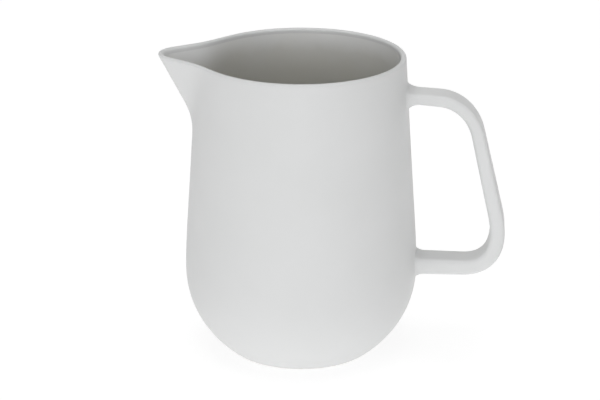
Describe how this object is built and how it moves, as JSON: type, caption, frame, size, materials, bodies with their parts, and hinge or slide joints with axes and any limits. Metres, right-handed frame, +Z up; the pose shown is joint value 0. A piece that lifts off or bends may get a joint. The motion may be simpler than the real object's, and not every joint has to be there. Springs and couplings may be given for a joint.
{
  "type": "pitcher",
  "caption": "Ceramic pitcher: round-bellied vessel with a pulled pouring spout, foot ring, glaze-lined inside and a strap handle on slip joints.",
  "frame": {"origin": "centre of the bounding box in plan, at the level of the surface that the foot ring stands on", "axes": "+Z up; -X towards the pouring spout, +X towards the handle; the XZ plane is the pitcher's mirror plane, and its own turning axis stands 16.2 mm towards -X from the origin"},
  "size_m": [0.1762, 0.1192, 0.155],
  "materials": {
    "bare_porcelain": "white porcelain, unglazed and polished to a soft matt satin",
    "lining_glaze": "clear to faintly warm grey glaze, smooth and softly glossy"
  },
  "bodies": {
    "root": {"vessel_body": "bare_porcelain", "handle": "bare_porcelain", "upper_handle_joint": "bare_porcelain", "lower_handle_joint": "bare_porcelain", "inner_glaze": "lining_glaze"}
  },
  "joints": []
}
